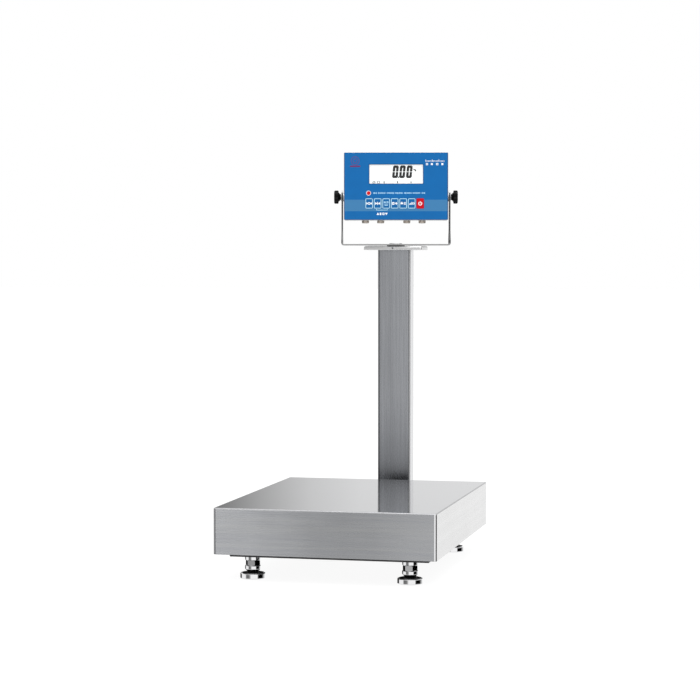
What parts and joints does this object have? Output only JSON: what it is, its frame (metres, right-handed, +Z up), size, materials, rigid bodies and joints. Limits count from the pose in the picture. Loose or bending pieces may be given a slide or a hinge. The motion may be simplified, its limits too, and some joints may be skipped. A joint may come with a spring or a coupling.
{
  "type": "bench scale",
  "caption": "Platform bench scale with a folded steel pan, levelling feet, a rear column and a swivelling, tilting keypad indicator in a U bracket.",
  "frame": {"origin": "floor level, at the middle of the whole object's length and width", "axes": "+Z up, the user stands at -Y in front of the pan, +X is to the user's right"},
  "size_m": [0.45, 0.7651, 0.8788],
  "materials": {
    "brushed_steel": "brushed, fine grain across the front",
    "column_steel": "brushed, fine grain along the tube",
    "bracket_steel": "satin, slightly mottled",
    "housing_steel": "satin",
    "frame_steel": "welded tube, matt dark paint",
    "polished_steel": "polished stainless steel",
    "zinc_steel": "zinc plated fastener",
    "aluminium": "machined",
    "rubber": "matt",
    "black_plastic": "moulded, fine texture",
    "blue_film": "printed polyester film, satin",
    "key_film": "printed polyester film, satin",
    "key_film_red": "printed polyester film, satin",
    "clear_plastic": "clear",
    "lcd_white": "backlit liquid-crystal glass",
    "circuit_board": "solder mask",
    "gland_nickel": "nickel plated"
  },
  "bodies": {
    "base": {"base_frame": "frame_steel", "load_cell": "aluminium", "cell_spacer_lower": "zinc_steel", "cell_spacer_upper": "zinc_steel", "top_frame": "frame_steel", "pan_pad_1": "rubber", "pan_pad_2": "rubber", "pan_pad_3": "rubber", "pan_pad_4": "rubber", "cell_bolt_base_1": "zinc_steel", "cell_bolt_top_1": "zinc_steel", "cell_bolt_base_2": "zinc_steel", "cell_bolt_top_2": "zinc_steel", "level_cup": "black_plastic", "level_vial": "clear_plastic", "lock_nut_1": "polished_steel", "lock_nut_2": "polished_steel", "lock_nut_3": "polished_steel", "lock_nut_4": "polished_steel", "column_base_flange": "brushed_steel", "column_bolt_1": "zinc_steel", "column_bolt_2": "zinc_steel", "column": "column_steel", "head_plate": "brushed_steel", "swivel_bolt": "brushed_steel", "swivel_washer": "black_plastic", "swivel_nut": "zinc_steel"},
    "pan": {"pan": "brushed_steel"},
    "foot_pad_1": {"foot_pad_1": "polished_steel"},
    "foot_stud_1": {"foot_stud_1": "polished_steel"},
    "foot_pad_2": {"foot_pad_2": "polished_steel"},
    "foot_stud_2": {"foot_stud_2": "polished_steel"},
    "foot_pad_3": {"foot_pad_3": "polished_steel"},
    "foot_stud_3": {"foot_stud_3": "polished_steel"},
    "foot_pad_4": {"foot_pad_4": "polished_steel"},
    "foot_stud_4": {"foot_stud_4": "polished_steel"},
    "bracket": {"bracket": "bracket_steel"},
    "indicator": {"indicator_housing": "housing_steel", "keypad_overlay": "blue_film", "display_lens": "clear_plastic", "lcd_module": "lcd_white", "main_board": "circuit_board", "battery": "black_plastic", "gasket": "rubber", "rear_cover": "housing_steel", "cable_gland_1": "gland_nickel", "cable_gland_2": "gland_nickel", "cable_gland_3": "gland_nickel", "cable_gland_4": "gland_nickel"},
    "key_1": {"key_1": "key_film"},
    "key_2": {"key_2": "key_film"},
    "key_3": {"key_3": "key_film"},
    "key_4": {"key_4": "key_film"},
    "key_5": {"key_5": "key_film"},
    "key_6": {"key_6": "key_film"},
    "key_7": {"key_7": "key_film_red"},
    "knob_washer_left": {"knob_washer_left": "zinc_steel"},
    "knob_left": {"knob_left": "black_plastic"},
    "knob_washer_right": {"knob_washer_right": "zinc_steel"},
    "knob_right": {"knob_right": "black_plastic"}
  },
  "joints": [
    {"name": "foot_1_height", "type": "slide", "parent": "base", "child": "foot_pad_1", "axis": [0, 0, -1], "range_m": [0, 0.012]},
    {"name": "foot_1_screw", "type": "hinge", "parent": "foot_pad_1", "child": "foot_stud_1", "pos_m": [-0.1605, -0.3207, 0.03], "axis": [0, 0, -1], "range_deg": [0, 2160]},
    {"name": "foot_2_height", "type": "slide", "parent": "base", "child": "foot_pad_2", "axis": [0, 0, -1], "range_m": [0, 0.012]},
    {"name": "foot_2_screw", "type": "hinge", "parent": "foot_pad_2", "child": "foot_stud_2", "pos_m": [0.1605, -0.3207, 0.03], "axis": [0, 0, -1], "range_deg": [0, 2160]},
    {"name": "foot_3_height", "type": "slide", "parent": "base", "child": "foot_pad_3", "axis": [0, 0, -1], "range_m": [0, 0.012]},
    {"name": "foot_3_screw", "type": "hinge", "parent": "foot_pad_3", "child": "foot_stud_3", "pos_m": [-0.1605, 0.1499, 0.03], "axis": [0, 0, -1], "range_deg": [0, 2160]},
    {"name": "foot_4_height", "type": "slide", "parent": "base", "child": "foot_pad_4", "axis": [0, 0, -1], "range_m": [0, 0.012]},
    {"name": "foot_4_screw", "type": "hinge", "parent": "foot_pad_4", "child": "foot_stud_4", "pos_m": [0.1605, 0.1499, 0.03], "axis": [0, 0, -1], "range_deg": [0, 2160]},
    {"name": "pan_lift", "type": "slide", "parent": "base", "child": "pan", "axis": [0, 0, 1], "range_m": [0, 0.11]},
    {"name": "head_swivel", "type": "hinge", "parent": "base", "child": "bracket", "pos_m": [0, 0.313, 0.6726], "axis": [0, 0, 1], "range_deg": [-102, 78]},
    {"name": "indicator_tilt", "type": "hinge", "parent": "bracket", "child": "indicator", "pos_m": [0, 0.313, 0.7791], "axis": [0.9781, 0.2079, 0], "range_deg": [-90, 45]},
    {"name": "knob_left_back_off", "type": "slide", "parent": "bracket", "child": "knob_washer_left", "axis": [-0.9781, -0.2079, 0], "range_m": [0, 0.003]},
    {"name": "knob_left_turn", "type": "hinge", "parent": "knob_washer_left", "child": "knob_left", "pos_m": [-0.12912, 0.28556, 0.7791], "axis": [-0.9781, -0.2079, 0], "range_deg": [0, 1080]},
    {"name": "knob_right_back_off", "type": "slide", "parent": "bracket", "child": "knob_washer_right", "axis": [0.9781, 0.2079, 0], "range_m": [0, 0.003]},
    {"name": "knob_right_turn", "type": "hinge", "parent": "knob_washer_right", "child": "knob_right", "pos_m": [0.12912, 0.34044, 0.7791], "axis": [0.9781, 0.2079, 0], "range_deg": [0, 1080]},
    {"name": "key_1_press", "type": "slide", "parent": "indicator", "child": "key_1", "axis": [-0.2079, 0.9781, 0], "range_m": [0, 0.0006], "stiffness_N_per_m": 1500},
    {"name": "key_2_press", "type": "slide", "parent": "indicator", "child": "key_2", "axis": [-0.2079, 0.9781, 0], "range_m": [0, 0.0006], "stiffness_N_per_m": 1500},
    {"name": "key_3_press", "type": "slide", "parent": "indicator", "child": "key_3", "axis": [-0.2079, 0.9781, 0], "range_m": [0, 0.0006], "stiffness_N_per_m": 1500},
    {"name": "key_4_press", "type": "slide", "parent": "indicator", "child": "key_4", "axis": [-0.2079, 0.9781, 0], "range_m": [0, 0.0006], "stiffness_N_per_m": 1500},
    {"name": "key_5_press", "type": "slide", "parent": "indicator", "child": "key_5", "axis": [-0.2079, 0.9781, 0], "range_m": [0, 0.0006], "stiffness_N_per_m": 1500},
    {"name": "key_6_press", "type": "slide", "parent": "indicator", "child": "key_6", "axis": [-0.2079, 0.9781, 0], "range_m": [0, 0.0006], "stiffness_N_per_m": 1500},
    {"name": "key_7_press", "type": "slide", "parent": "indicator", "child": "key_7", "axis": [-0.2079, 0.9781, 0], "range_m": [0, 0.0006], "stiffness_N_per_m": 1500}
  ],
  "couplings": [
    {"joint": "foot_1_screw", "follows": "foot_1_height", "rad_per_m": 3141.6},
    {"joint": "foot_2_screw", "follows": "foot_2_height", "rad_per_m": 3141.6},
    {"joint": "foot_3_screw", "follows": "foot_3_height", "rad_per_m": 3141.6},
    {"joint": "foot_4_screw", "follows": "foot_4_height", "rad_per_m": 3141.6},
    {"joint": "knob_left_turn", "follows": "knob_left_back_off", "rad_per_m": 6283.2},
    {"joint": "knob_right_turn", "follows": "knob_right_back_off", "rad_per_m": 6283.2}
  ]
}
